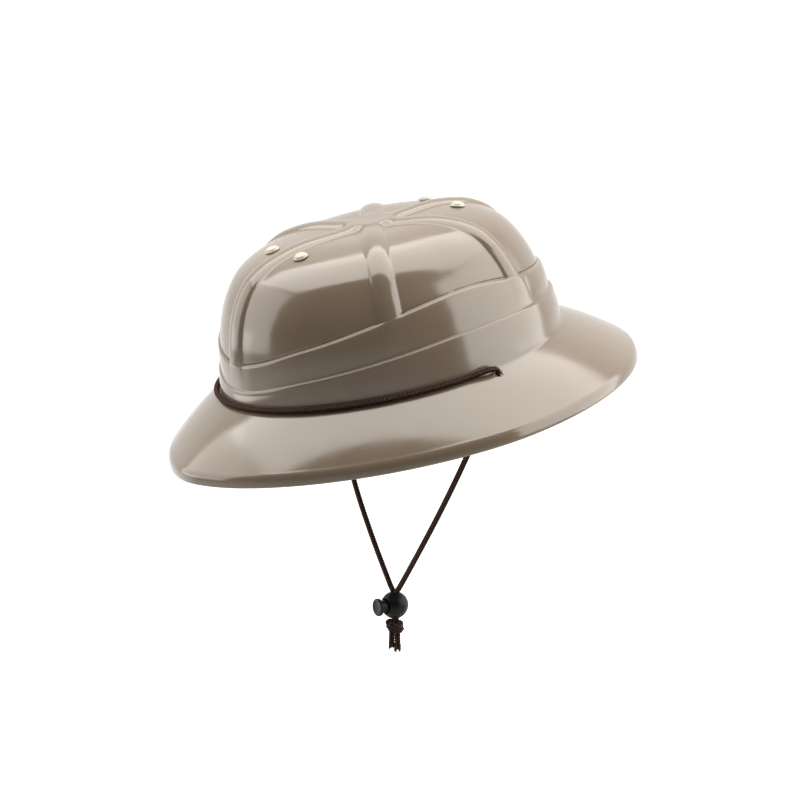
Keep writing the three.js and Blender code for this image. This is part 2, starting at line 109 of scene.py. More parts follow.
# Brim, its lip and the inside
FOOT_FILLET = 0.9
FILLET_TURNS = (0.25, 0.5, 0.75)  # rows of the fillet, in quarter turns
FILLET_RISE = 0.8
BRIM_ROWS = 40
LIP_SECTION = np.array([  # outwards and downwards from the crest
    (0, 0), (0.55, 0.5), (1, 1.05), (1.45, 1.75), (1.85, 2.6), (2.2, 3.7), (2.43, 5), (2.57, 6.4),
    (2.56, 7.5), (2.3, 8.1), (1.8, 8.25), (1.3, 8.15), (1, 7.7), (0.85, 6.8), (0.7, 5.4), (0.5, 4.4),
])
LIP_ROWS = 26
UNDERSIDE_ROWS = 20
UNDERSIDE_SPAN = (0.93, 0.2)  # shares of the brim's width where its plain underside starts and ends
INNER_BAND_OUT = 1.4
INNER_CORNER_DROP = 1.5
INNER_WALL_ROWS = 14
INNER_TOP_ROWS = 22

# Studs
STUD_PLACES = {
    "front_left": (60, 17), "front_right": (60, -17), "back_left": (-51, 18), "back_right": (-51, -18),
}
STUD_RADIUS = 4.5
STUD_HEIGHT = 2.4
STUD_DOME_RADIUS = 0.86  # share of the stud's radius
STUD_DOME_FOOT = 0.32  # share of the stud's height
STUD_DOME_ROUNDING = 0.8
STUD_DOME_ANGLES = np.radians(np.linspace(8, 84, 12))  # from its top
# Shares of the stud's radius and height
STUD_FLANGE = np.array([(0.89, 0.33), (0.97, 0.29), (1, 0.2), (0.99, 0.06), (0.94, 0), (0, 0)])
STUD_SIDES = 48

# Cord
GAP = 0.3
CORD_RADIUS = 1.8
HOLE_AZIMUTH = math.radians(96)
HOLE_RADIUS = 2.7
HOLE_FROM_WALL = 3.4
HOLE_SIDES = 48
HOLE_MEETING_DROP = 3.6  # the two cords of a hole meet this far below the crown's base
HOLE_RISE = 3.4  # straight stretch of the front cord in the hole
NESTLE = CORD_RADIUS + GAP + 0.1  # middle of the cord from the band and from the brim
NESTLE_LIFT = 0.12  # share of that distance by which the cord lies higher
FRONT_DEGREES = (93, 89.5, 85, 75, 62, 48, 34, 22, 11)  # places on the front cord, from the hole
NEAR_HOLE_DEGREES = (85, 93)
NEAR_HOLE_OUT = 1.3
NEAR_HOLE_LIFT = 1.4
STRAND_LEAVING = 3.5  # straight stretch of a hanging cord below the hole
STRAND_TURN = (0.6, 2.2, 5.5)  # forwards, inwards and down, to where it hangs
STRAND_BOW_ASIDE = 8.0
STRAND_BOW_FORWARD = 3.5
STRAND_NECK_ASIDE = 3.4
STRAND_NECK_RISE = 3.8
STRAND_NECK_DEPTH = 0.3
STRAND_IN_BALL = 4.0  # places above and below the ball's middle
STRAND_END_GAP = GAP + 0.1
CORD_PAIR_HALF_SPACING = 1.95
CURVE_STEPS = 60  # points worked out between two places of a route
ASKEW = (0.3, 0.5, 0.8)  # a direction along which no cord starts
BRAID_STEP = 0.22  # length of one row of a braided tube
BRAID_SIDES = 36
BRAID_COLUMNS = 4  # columns of stitches round the cord
STITCH = 1.7  # length of one stitch along the cord
STITCH_SLANT = 1.3  # how far a stitch slants across its column, in stitches
STITCH_ROUNDING = 1.1
COLUMN_ROUNDING = 0.25
BRAID_RELIEF = 0.36  # depth between the stitches

# Toggle, knot and tails
TOGGLE_DROP = 159.0
BALL_RADIUS = 8.5
BALL_ROWS = 60
BALL_SIDES = 72
SEAM_DEPTH = 0.12
SEAM_SPREAD = 0.03  # width of the parting line, as an angle
BORE_RADIUS = 4.9
BORE_END = -5.6
BORE_CORNER = 0.4
COLLAR_WIDTH = 0.55
COLLAR_SECTION = ((0.12, 0), (0.32, 0.12))  # outwards and forwards from the bore's mouth
STEM_RADIUS = 4.6
STEM_BACK = -2.9
NECK_RADIUS = 4.0  # waist between the plunger's head and its stem
NECK_END = 4.2
PLUNGER_RADIUS = 5.5
PLUNGER_HEAD_BACK = 10.9
PLUNGER_FACE = 13.0
PLUNGER_DISH = ((0, 0.45), (1.8, 0.42), (3.2, 0.3), (3.9, 0.12), (4.2, 0.02), (4.5, 0))  # radius, depth
PLUNGER_EDGE = 0.7  # rounding of the head's front edge
PLUNGER_BEVEL = 0.15
PLUNGER_SIDES = 64
PLUNGER_TRAVEL = 2.4
CHANNEL_HALF_DEPTH = 2.05
CHANNEL_HALF_WIDTH = 3.95
CHANNEL_ROUNDING = 0.35
CHANNEL_SIDES = 40
CUTTER_REACH = 15.0
KNOT_TOP = 9.0
KNOT_HEIGHT = 9.2
KNOT_TURN = math.radians(50)  # the knot and the tails are turned about the cord
COIL_PLACES = 48
COIL_TURNS = 2.7
COIL_START = 2.5  # angle of its upper end
COIL_REACH = (4.3, 2.9)  # across the knot's two widths
COIL_TAPER = 0.2  # how much narrower it is at its lower end
COIL_TILT = 0.8  # how much higher it lies on one side
COIL_INSET = 1.7  # from the knot's top and bottom
COIL_TUCK = 0.07  # share of the coil over which each end goes in
CROSSING_PLACES = 28
CROSSING_ARC = (0.3, 0.9)  # start and length, in half turns
CROSSING_REACH = (4.2, 3.6)
CROSSING_INSET = 2.2
CROSSING_TUCK = 0.12
TAILS = {"left": (1, 11.8), "right": (-1, 10.6)}  # side, length
TAIL_PLACES = (0, 0.3, 0.5)  # shares of a tail's length
TAIL_TUCKED = 2.0  # length inside the knot
TAIL_NARROWING = 0.1  # how much closer together the tails start than the cords
TAIL_SPREAD = 0.3
LOOSENED = 0.15  # how much a cut end swells
FRAY_SEED = 11
FRAY_LENGTH = 4.2
FRAY_CLUMPS = 5
CLUMP_TURN = 0.5  # how far a clump may be turned, in clumps
CLUMP_REACH = (0.45, 0.98)  # shares of the frayed length
CLUMP_YARNS = 12
CLUMP_SCATTER = 0.45
CLUMP_OUT = (0.55, 0.8)  # at its start and its tip, in cord radii
YARN_START = 0.9  # how far inside the cord a loose yarn starts
YARN_REACH = (0.7, 1)
YARN_GATHER = 0.5  # share of the scatter that is left at the tip
YARN_WAVE = 0.12
YARN_HEIGHTS = (0.5, 1.0)
YARN_RADIUS = 0.21
YARN_STEP = 0.7
YARN_SIDES = 6

# Tones from dark to light, and roughness from smooth to rough
SHELL_TONES = ((0.226, 0.17, 0.121), (0.248, 0.188, 0.135))
SHELL_ROUGHNESS = (0.13, 0.19)
SHELL_IOR = 1.85
STUD_TONES = ((0.62, 0.56, 0.44), (0.70, 0.65, 0.53))
STUD_ROUGHNESS = (0.22, 0.34)
TOGGLE_TONES = ((0.006, 0.006, 0.007), (0.014, 0.014, 0.015))
TOGGLE_ROUGHNESS = (0.34, 0.48)
TOGGLE_SPECULAR = 0.25
# Painted shade: the first yarn tone, nearly black, is painted where the yarn lies low between the stitches;
# the second is the yarn's own reddish brown
YARN_TONE_AND_PAINTED_GAP_SHADE = ((0.004, 0.002, 0.0015), (0.14, 0.056, 0.038))
PAINTED_GAP_SHADE_SPAN = (0.35, 0.95)  # yarn heights of the painted shade between the stitches and of the yarn's own tone
YARN_MOTTLE = (0.75, 1.1)
YARN_ROUGHNESS = 0.7
YARN_SPECULAR = 0.2
NOISE_SPAN = (0.3, 0.7)  # the part of a noise that is used

# Camera, fitted to the picture
CAMERA_AZIMUTH = math.radians(58.25)  # from the front towards the wearer's left
CAMERA_ELEVATION = math.radians(9.8)
CAMERA_DISTANCE = 1.754
CAMERA_LENS = 130.0
CAMERA_SENSOR = 36.0
CAMERA_SHIFT = (0.0067, -0.0617)

# Stage and light, in metres and watts
WHITE = (1, 1, 1, 1)
WARM_WHITE = (1.0, 0.985, 0.945)
FLOOR_TONE = (0.52, 0.52, 0.52, 1)
FLOOR_ROUGHNESS = 0.9
FLOOR_LEVEL = -0.45
FLOOR_RADIUS = 25
FLOOR_SIDES = 64
FLOOR_GLOW_SPAN = (0.1, 0.55)  # distance behind the hat over which the floor turns bright
BACKDROP_SPAN = (0.15, 0.8)  # how straight behind the hat a direction points
BACKDROP_GLOW = (0.015, 1.0)
LIGHT_TARGET = (0, 0, 0.02)
SOFTBOXES = {  # to the picture's right, behind the hat, up; width and height; power
    "overhead": ((0, 0.12, 1.25), (2.7, 1.5), 39),
    "left": ((-1.2, 0.1, 0.35), (1.2, 1.2), 8.5),
    "right": ((1.2, -0.05, 0.4), (1.6, 1.15), 15),
}

TO_CAMERA = np.array([math.cos(CAMERA_AZIMUTH), math.sin(CAMERA_AZIMUTH), 0.0])
IMAGE_RIGHT = np.array([-math.sin(CAMERA_AZIMUTH), math.cos(CAMERA_AZIMUTH), 0.0])


# Curves

def hermite(x, xs, ys, flat_ends=False):
    """A smooth curve through a short table."""
    x = np.clip(np.asarray(x, float), xs[0], xs[-1])
    slopes = np.gradient(ys, xs)
    if flat_ends:
        slopes[0] = 0
        slopes[-1] = 0
    i = np.clip(np.searchsorted(xs, x, side="right") - 1, 0, len(xs) - 2)
    width = xs[i + 1] - xs[i]
    t = (x - xs[i]) / width
    return ((2 * t**3 - 3 * t**2 + 1) * ys[i] + (t**3 - 2 * t**2 + t) * width * slopes[i]
            + (3 * t**2 - 2 * t**3) * ys[i + 1] + (t**3 - t**2) * width * slopes[i + 1])


def smoothstep(x, low, high):
    t = np.clip((np.asarray(x, float) - low) / (high - low), 0, 1)
    return t * t * (3 - 2 * t)


def spline(points, t):
    """The uniform spline that gives the crown its section."""
    place = (len(points) - 1) * np.asarray(t, float)
    i = np.clip(place.astype(int), 0, len(points) - 2)
    w = (place - i)[..., None]
    last = len(points) - 1
    p0 = points[np.maximum(i - 1, 0)]
    p1 = points[i]
    p2 = points[i + 1]
    p3 = points[np.minimum(i + 2, last)]
    v0 = (p2 - p0) / 2
    v1 = (p3 - p1) / 2
    return (2 * p1 - 2 * p2 + v0 + v1) * w**3 + (3 * p2 - 3 * p1 - 2 * v0 - v1) * w**2 + v0 * w + p1


def cord_curve(points, step):
    """Evenly spaced points on a centripetal spline through the points of a cord's route."""
    points = np.array(points, float)
    ends = np.vstack([2 * points[0] - points[1], points, 2 * points[-1] - points[-2]])
    fine = []
    for p0, p1, p2, p3 in zip(ends, ends[1:], ends[2:], ends[3:]):
        d0, d1, d2 = (math.sqrt(np.linalg.norm(b - a)) for a, b in ((p0, p1), (p1, p2), (p2, p3)))
        t1 = ((p1 - p0) / d0 - (p2 - p0) / (d0 + d1) + (p2 - p1) / d1) * d1
        t2 = ((p2 - p1) / d1 - (p3 - p1) / (d1 + d2) + (p3 - p2) / d2) * d1
        square = 3 * p2 - 3 * p1 - 2 * t1 - t2
        cube = 2 * p1 - 2 * p2 + t1 + t2
        for w in np.linspace(0, 1, CURVE_STEPS, endpoint=False):
            fine.append(p1 + t1 * w + square * w**2 + cube * w**3)
    fine = np.array([*fine, points[-1]])
    along = np.concatenate([[0], np.cumsum(np.linalg.norm(np.diff(fine, axis=0), axis=1))])
    count = max(4, math.ceil(along[-1] / step))
    even = np.linspace(0, along[-1], count + 1)
    return np.stack([np.interp(even, along, fine[:, k]) for k in range(3)], 1), along[-1]


# Shape of the moulding

PROFILE_T = np.linspace(0, 1, 4001)
PROFILE = spline(CROWN_PROFILE, PROFILE_T)
FALLING = PROFILE_T >= FALL_START


def oval_radius(azimuth, half_length, half_width, power):
    along = np.abs(np.cos(azimuth)) / half_length
    across = np.abs(np.sin(azimuth)) / half_width
    return (along**power + across**power) ** (-1 / power)


def crown_radius(azimuth):
    half_length = np.where(np.cos(azimuth) > 0, CROWN_FRONT_LENGTH, CROWN_BACK_LENGTH)
    return oval_radius(azimuth, half_length, CROWN_HALF_WIDTH, 2)


def brim_radius(azimuth):
    front = np.cos(azimuth) > 0
    half_length = np.where(front, BRIM_FRONT_LENGTH, BRIM_BACK_LENGTH)
    power = np.where(front, BRIM_FRONT_POWER, BRIM_BACK_POWER)
    return oval_radius(azimuth, half_length, BRIM_HALF_WIDTH, power)


def leaning_radius(azimuth, rise):
    forward = np.cos(azimuth)
    height = np.maximum(0, rise) / TOP_RISE
    swell = FRONT_SWELL * np.maximum(0, forward) * height
    return crown_radius(azimuth) * (1 + swell)


def edge_height(azimuth, heights):
    folded = np.abs(np.arctan2(np.sin(azimuth), np.cos(azimuth)))
    return hermite(folded, PLEAT_AZIMUTHS, heights, flat_ends=True)


def place_at_rise(rise):
    return np.interp(-np.asarray(rise, float), -PROFILE[FALLING, 1], PROFILE_T[FALLING])


def place_on_top(azimuth, radius):
    return np.interp(radius / leaning_radius(azimuth, TOP_RISE), PROFILE[:, 0], PROFILE_T)


def polar(azimuth, radius, height):
    azimuth, radius, height = np.broadcast_arrays(azimuth, radius, height)
    return np.stack([radius * np.cos(azimuth), radius * np.sin(azimuth), height], -1)


def crown_point(azimuth, place, raised):
    at = spline(CROWN_PROFILE, place)
    ahead = spline(CROWN_PROFILE, np.minimum(place + SECTION_NUDGE, 1))
    behind = spline(CROWN_PROFILE, np.maximum(place - SECTION_NUDGE, 0))
    base = leaning_radius(azimuth, at[..., 1])
    along = (ahead - behind)[..., 0] * base
    fall = (ahead - behind)[..., 1]
    size = np.hypot(along, fall)
    return polar(azimuth, at[..., 0] * base - raised * fall / size, at[..., 1] + raised * along / size)


def band_point(azimuth, rise, out):
    reach = spline(CROWN_PROFILE, place_at_rise(rise))[..., 0]
    return polar(azimuth, reach * leaning_radius(azimuth, rise) + out, rise)


def band_foot(azimuth):
    return crown_radius(azimuth) + LOWER_PLEAT_STEP + PLEAT_FALL[-1, 1]


def brim_point(azimuth, share, raised=0.0):
    foot = band_foot(azimuth)
    width = brim_radius(azimuth) - foot
    slope = -BRIM_DROP * (1 - BRIM_DROOP + 2 * BRIM_DROOP * share)
    size = np.hypot(slope, width)
    height = -BRIM_DROP * ((1 - BRIM_DROOP) * share + BRIM_DROOP * share**2)
    return polar(azimuth, foot + width * share - raised * slope / size, height + raised * width / size)


def shell_columns(reach):
    """Azimuths of the mesh's columns, which keep to the ribs' edges, and the rib height at each."""
    def spread(azimuth):
        return min(WIDEST_RIB_SPREAD, math.asin(min(1, RIB_HALF_WIDTH / (reach * crown_radius(azimuth)))))
    across = np.concatenate([RIB_COLUMNS, -RIB_COLUMNS[-2::-1]])
    heights = hermite(np.abs(across), RIB_SHAPE[:, 0], RIB_SHAPE[:, 1], flat_ends=True)
    azimuths = []
    shares = []
    for rib, middle in enumerate(RIB_AZIMUTHS):
        following = RIB_AZIMUTHS[rib + 1] if rib + 1 < len(RIB_AZIMUTHS) else RIB_AZIMUTHS[0] + 2 * math.pi
        start = middle + across[-1] * spread(middle)
        end = following + across[0] * spread(following)
        azimuths += list(middle + across * spread(middle))
        azimuths += list(np.linspace(start, end, PANEL_COLUMNS + 2)[1:-1])
        shares += list(heights) + [0] * PANEL_COLUMNS
    return np.array(azimuths), np.array(shares)


def crown_rings():
    rings = []
    for radius in HUB_RADII:
        azimuth, _ = shell_columns(radius / CROWN_FRONT_LENGTH)
        rings.append(crown_point(azimuth, place_on_top(azimuth, radius), HUB_RISE))
    for along in np.linspace(0, 1, CROWN_ROWS):
        def place_of(azimuth):
            end = place_at_rise(edge_height(azimuth, UPPER_EDGES) + CROWN_END_RISE)
            return place_on_top(azimuth, RIB_START) * (1 - along) + end * along
        reach = spline(CROWN_PROFILE, place_of(np.zeros(1)))[0, 0]
        azimuth, share = shell_columns(reach)
        hub = 1 - smoothstep(reach * CROWN_FRONT_LENGTH, *HUB_BLEND)
        rings.append(crown_point(azimuth, place_of(azimuth), hub * HUB_RISE + (1 - hub) * RIB_RISE * share))
    return rings


def pleat_depth(azimuth):
    """Share of their depth that the pleats have at an angle from the front."""
    angle = np.abs(np.arctan2(np.sin(azimuth), np.cos(azimuth)))
    return FRONT_PLEAT_SHARE + (1 - FRONT_PLEAT_SHARE) * smoothstep(angle, 0, FRONT_PLEAT_END)


def pleat_rings(top, bottom, out_at, start_out):
    """One pleat: a rounded ledge at its upper edge and a face that falls to its foot."""
    azimuth, _ = shell_columns(1)
    rings = []
    for drop, ledge in PLEAT_LEDGE:
        rings.append(band_point(azimuth, top - drop, start_out * (1 - ledge) + out_at(0) * ledge))
    start = top - PLEAT_LEDGE[-1, 0]
    for down in np.linspace(0, 1, PLEAT_FALL_ROWS + 1)[1:]:
        rings.append(band_point(azimuth, start * (1 - down) + bottom * down, out_at(down)))
    return rings


def band_rings():
    azimuth, share = shell_columns(1)
    upper = edge_height(azimuth, UPPER_EDGES)
    lower = edge_height(azimuth, LOWER_EDGES)
    depth = pleat_depth(azimuth)
    foot = LOWER_PLEAT_STEP + PLEAT_FALL[-1, 1]

    def fall(down):
        return hermite(down, PLEAT_FALL[:, 0], PLEAT_FALL[:, 1])

    def upper_out(down):
        return depth * fall(down) + RIB_BULGE * share * (1 - down)

    def lower_out(down):
        return depth * (LOWER_PLEAT_STEP + fall(down)) + (1 - depth) * foot * down

    return [
        *pleat_rings(upper, lower + LEDGE_TOP, upper_out, RIB_RISE * share),
        *pleat_rings(lower, FOOT_FILLET, lower_out, upper_out(1)),
    ]


def brim_rings():
    azimuth, _ = shell_columns(1)
    foot = band_foot(azimuth)
    width = brim_radius(azimuth) - foot
    rings = []
    for turn in FILLET_TURNS:
        angle = turn * math.pi / 2
        out = FOOT_FILLET * (1 - math.cos(angle))
        rise = FOOT_FILLET * (1 - math.sin(angle))
        flat = brim_point(azimuth, out / width)
        rings.append(polar(azimuth, foot + out, flat[:, 2] + rise * FILLET_RISE))
    for along in np.linspace(0, 1, BRIM_ROWS):
        start = FOOT_FILLET / width
        rings.append(brim_point(azimuth, start + (1 - start) * along))
    lengths = np.concatenate([[0], np.cumsum(np.hypot(*np.diff(LIP_SECTION, axis=0).T))])
    for along in np.linspace(0, lengths[-1], LIP_ROWS)[1:]:
        out = hermite(along, lengths, LIP_SECTION[:, 0])
        drop = hermite(along, lengths, LIP_SECTION[:, 1])
        rings.append(polar(azimuth, brim_radius(azimuth) + out, -BRIM_DROP - drop))
    return rings


def inner_rings():
    azimuth, _ = shell_columns(1)
    upper = edge_height(azimuth, UPPER_EDGES)
    rings = [brim_point(azimuth, share, -WALL) for share in np.linspace(*UNDERSIDE_SPAN, UNDERSIDE_ROWS)]
    corner = crown_radius(azimuth) + INNER_BAND_OUT - WALL
    rings.append(polar(azimuth, corner, -INNER_CORNER_DROP))
    for along in np.linspace(0, 1, INNER_WALL_ROWS + 1)[1:]:
        rings.append(band_point(azimuth, upper * along, INNER_BAND_OUT * (1 - along) - WALL))
    for along in np.linspace(0, 1, INNER_TOP_ROWS + 2)[1:-1]:
        rings.append(crown_point(azimuth, place_at_rise(upper) * (1 - along), -WALL))
    return rings


def pitched(points):
    """Leans the moulding and what lies on it forward, as the hat sits."""
    points = np.asarray(points, float)
    x = points[..., 0] * math.cos(PITCH) + points[..., 2] * math.sin(PITCH)
    z = points[..., 2] * math.cos(PITCH) - points[..., 0] * math.sin(PITCH)
    return np.stack([x, points[..., 1], z], -1)


# Meshes

def new_piece(name, points, faces, material):
    mesh = bpy.data.meshes.new(name)
    mesh.from_pydata((np.asarray(points) * MM).tolist(), [], faces)
    mesh.polygons.foreach_set("use_smooth", [True] * len(mesh.polygons))
    mesh.materials.append(material)
    mesh.update()
    piece = bpy.data.objects.new(name, mesh)
    bpy.context.collection.objects.link(piece)
    return piece


def ring_faces(rows, columns):
    """Quads between rings of equal length that close round, wound to face outwards."""
    faces = []
    for row in range(rows - 1):
        for column in range(columns):
            after = (column + 1) % columns
            faces.append((row * columns + column, (row + 1) * columns + column,
                          (row + 1) * columns + after, row * columns + after))
    return faces


def skin(rings, first_pole, last_pole):
    """Points and faces of a closed skin over rings, with a single point at each end."""
    columns = len(rings[0])
    points = np.vstack([*rings, [first_pole], [last_pole]])
    faces = ring_faces(len(rings), columns)
    first = len(rings) * columns
    for column in range(columns):
        after = (column + 1) % columns
        faces.append((first, column, after))
        faces.append((first + 1, first - columns + after, first - columns + column))
    return points, faces


def cut_with(piece, cutters):
    """Cuts the cutters' shapes out of a piece and removes the cutters."""
    for cutter in cutters:
        cut = piece.modifiers.new("cut", "BOOLEAN")
        cut.operation = "DIFFERENCE"
        cut.solver = "EXACT"
        cut.object = cutter
    bpy.context.view_layer.update()
    graph = bpy.context.evaluated_depsgraph_get()
    mesh = bpy.data.meshes.new_from_object(piece.evaluated_get(graph))
    piece.modifiers.clear()
    piece.data = mesh
    mesh.polygons.foreach_set("use_smooth", [True] * len(mesh.polygons))
    for cutter in cutters:
        bpy.data.objects.remove(cutter)


def cutter_from(points, faces):
    mesh = bpy.data.meshes.new("cutter")
    mesh.from_pydata((np.asarray(points) * MM).tolist(), [], faces)
    cutter = bpy.data.objects.new("cutter", mesh)
    bpy.context.collection.objects.link(cutter)
    return cutter


def revolve(profile, sides):
    """Points and faces of a profile of (radius, height) turned about +Z, closed at both ends."""
    angles = np.linspace(0, 2 * math.pi, sides, endpoint=False)
    rings = [polar(angles, radius, height) for radius, height in profile[1:-1]]
    return skin(rings, (0, 0, profile[0][1]), (0, 0, profile[-1][1]))


def frames_along(path):
    """Two directions across the path at each of its points, which don't twist along it."""
    tangents = np.gradient(path, axis=0)
    tangents /= np.linalg.norm(tangents, axis=1, keepdims=True)
    side = np.cross(tangents[0], ASKEW)
    sides = []
    for tangent in tangents:
        side = side - tangent * (side @ tangent)
        side /= np.linalg.norm(side)
        sides.append(side)
    sides = np.array(sides)
    return sides, np.cross(tangents, sides)


def braid_relief(angle, along):
    """Height of the stitches round a cord, from 0 between them to 1 on top.

    The stitches stand in columns along the cord and slant the other way in each next column.
    """
    column = angle * BRAID_COLUMNS / (2 * math.pi)
    across = column % 1
    slanted = np.where(column % 2 < 1, across, 1 - across)
    stitch = np.abs(np.sin(math.pi * (along / STITCH - STITCH_SLANT * slanted)))
    return stitch**STITCH_ROUNDING * np.sin(math.pi * across) ** COLUMN_ROUNDING


def braided_tube(path, radius=CORD_RADIUS):
    """Points, faces and yarn heights of a closed braided cord along a path."""
    sides, ups = frames_along(path)
    angles = np.linspace(0, 2 * math.pi, BRAID_SIDES, endpoint=False)
    along = np.concatenate([[0], np.cumsum(np.linalg.norm(np.diff(path, axis=0), axis=1))])
    rings = []
    heights = []
    for point, side, up, distance in zip(path, sides, ups, along):
        height = braid_relief(angles, distance)
        size = radius - BRAID_RELIEF * (1 - height)
        rings.append(point - np.cos(angles)[:, None] * size[:, None] * side
                     + np.sin(angles)[:, None] * size[:, None] * up)
        heights.append(height)
    points, faces = skin(rings, path[0], path[-1])
    return points, faces, np.concatenate([*heights, [0, 0]])


def joined(parts):
    """One mesh from several sets of points, faces and yarn heights."""
    faces = []
    count = 0
    for points, part_faces, _ in parts:
        faces += [tuple(index + count for index in face) for face in part_faces]
        count += len(points)
    points = np.vstack([part[0] for part in parts])
    heights = np.concatenate([part[2] for part in parts])
    return points, faces, heights


def keep_heights(piece, heights):
    """Stores the yarn heights, which the yarn's colour follows: low places between the stitches get painted
    shade.
    """
    layer = piece.data.attributes.new("yarn_height", "FLOAT", "POINT")
    layer.data.foreach_set("value", heights)


# Materials

def new_material(name):
    material = bpy.data.materials.new(name)
    material.use_nodes = True
    nodes = material.node_tree.nodes
    return material, nodes, material.node_tree.links, nodes["Principled BSDF"]


def noise(nodes, links, scale, detail=3.0):
    place = nodes.new("ShaderNodeTexCoord")
    texture = nodes.new("ShaderNodeTexNoise")
    texture.inputs["Scale"].default_value = scale
    texture.inputs["Detail"].default_value = detail
    links.new(place.outputs["Object"], texture.inputs["Vector"])
    return texture.outputs["Fac"]


def colour_between(nodes, links, factor, low, high, span=NOISE_SPAN):
    ramp = nodes.new("ShaderNodeValToRGB")
    for element, place, tone in zip(ramp.color_ramp.elements, span, (low, high)):
        element.position = place
        element.color = (*tone, 1)
    links.new(factor, ramp.inputs["Fac"])
    return ramp.outputs["Color"]


def map_range(nodes, links, value, span, result, interpolation="LINEAR"):
    mapping = nodes.new("ShaderNodeMapRange")
    mapping.interpolation_type = interpolation
    for name, number in zip(("From Min", "From Max", "To Min", "To Max"), (*span, *result)):
        mapping.inputs[name].default_value = number
    links.new(value, mapping.inputs["Value"])
    return mapping.outputs["Result"]


def bump(nodes, links, shader, height, strength, distance):
    node = nodes.new("ShaderNodeBump")
    node.inputs["Strength"].default_value = strength
    node.inputs["Distance"].default_value = distance
    links.new(height, node.inputs["Height"])
    links.new(node.outputs["Normal"], shader.inputs["Normal"])


def new_plastic(name, tones, roughness, tone_scale, roughness_scale):
    """A plastic whose tone and gloss vary a little over its surface."""
    material, nodes, links, shader = new_material(name)
    tone = colour_between(nodes, links, noise(nodes, links, tone_scale), *tones)
    links.new(tone, shader.inputs["Base Color"])
    rough = map_range(nodes, links, noise(nodes, links, roughness_scale), NOISE_SPAN, roughness)
    links.new(rough, shader.inputs["Roughness"])
    return material, nodes, links, shader


def shell_plastic():
    material, nodes, links, shader = new_plastic(
        "gloss_taupe_plastic", SHELL_TONES, SHELL_ROUGHNESS, tone_scale=14, roughness_scale=60)
    shader.inputs["IOR"].default_value = SHELL_IOR
    ripple = noise(nodes, links, scale=420, detail=1)
    bump(nodes, links, shader, ripple, strength=0.05, distance=0.0002)
    return material


def stud_plastic():
    material, *_ = new_plastic(
        "gloss_cream_plastic", STUD_TONES, STUD_ROUGHNESS, tone_scale=300, roughness_scale=500)
    return material


def toggle_plastic():
    material, nodes, links, shader = new_plastic(
        "satin_black_plastic", TOGGLE_TONES, TOGGLE_ROUGHNESS, tone_scale=400, roughness_scale=900)
    shader.inputs["Specular IOR Level"].default_value = TOGGLE_SPECULAR
    grain = noise(nodes, links, scale=2500)
    bump(nodes, links, shader, grain, strength=0.12, distance=0.0001)
    return material


def cord_yarn():
    """Dark brown yarn, redder on top of a stitch and darkened to nearly black by painted shade between the
    stitches.
    """
    material, nodes, links, shader = new_material("dark_brown_yarn_with_painted_gap_shade")
    height = nodes.new("ShaderNodeAttribute")
    height.attribute_name = "yarn_height"
    mottle = nodes.new("ShaderNodeMath")
    mottle.operation = "MULTIPLY"
    links.new(height.outputs["Fac"], mottle.inputs[0])
    patches = noise(nodes, links, scale=1200)
    links.new(map_range(nodes, links, patches, NOISE_SPAN, YARN_MOTTLE), mottle.inputs[1])
    # Painted shade: the tone falls to nearly black where the yarn lies low between the stitches
    tone = colour_between(nodes, links, mottle.outputs["Value"], *YARN_TONE_AND_PAINTED_GAP_SHADE, PAINTED_GAP_SHADE_SPAN)
    links.new(tone, shader.inputs["Base Color"])
    shader.inputs["Roughness"].default_value = YARN_ROUGHNESS
    shader.inputs["Specular IOR Level"].default_value = YARN_SPECULAR
    fibres = noise(nodes, links, scale=5000)
    bump(nodes, links, shader, fibres, strength=0.35, distance=0.0002)
    return material


# Routes of the cord, as in the part's source

def hole_centre(side):
    azimuth = side * HOLE_AZIMUTH
    return polar(azimuth, band_foot(azimuth) + HOLE_FROM_WALL, 0.0)


def at_height(point, height):
    return np.array([point[0], point[1], height])


def cord_on_brim(azimuth, out=0.0, lift=0.0):
    foot = band_foot(azimuth)
    share = (NESTLE + out) / (brim_radius(azimuth) - foot)
    on_brim = brim_point(azimuth, share, NESTLE + lift)
    return polar(azimuth, foot + NESTLE + out, on_brim[2] + NESTLE * NESTLE_LIFT)


def front_half(side):
    hole = hole_centre(side)
    points = [at_height(hole, -HOLE_MEETING_DROP), at_height(hole, -HOLE_MEETING_DROP + HOLE_RISE)]
    for degrees in FRONT_DEGREES:
        near_hole = float(smoothstep(degrees, *NEAR_HOLE_DEGREES))
        azimuth = side * math.radians(degrees)
        points.append(cord_on_brim(azimuth, NEAR_HOLE_OUT * near_hole, NEAR_HOLE_LIFT * near_hole))
    return points


def band_route():
    return pitched([*front_half(1), cord_on_brim(0.0), *front_half(-1)[::-1]])


def strand_route(side):
    start = pitched(at_height(hole_centre(side), -HOLE_MEETING_DROP - GAP))
    leaving = start + STRAND_LEAVING * pitched((0, 0, -1))
    forwards, inwards, down = STRAND_TURN
    turned = leaving + (forwards, -side * inwards, -down)
    mouth = -TOGGLE_DROP + BALL_RADIUS - STRAND_NECK_DEPTH
    toggle_top = np.array([0, side * CORD_PAIR_HALF_SPACING, mouth])
    neck = toggle_top + (0, side * STRAND_NECK_ASIDE, STRAND_NECK_RISE)
    points = [start, leaving]
    for share in (0, 0.2, 0.4, 0.6, 0.8, 1):
        bow = math.sin(math.pi * share)
        points.append(turned * (1 - share) + neck * share
                      + (bow * STRAND_BOW_FORWARD, side * bow * STRAND_BOW_ASIDE, 0))
    points.append(toggle_top)
    for level in (STRAND_IN_BALL, -STRAND_IN_BALL, -KNOT_TOP + STRAND_END_GAP):
        points.append(at_height(toggle_top, -TOGGLE_DROP + level))
    return points


# Pieces

def add_cord(name, node, route, material, **facts):
    path, length = cord_curve(route, BRAID_STEP)
    points, faces, heights = braided_tube(path)
    piece = new_piece(name, points, faces, material)
    keep_heights(piece, heights)
    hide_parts(node)
    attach(piece, "hat")
    return piece


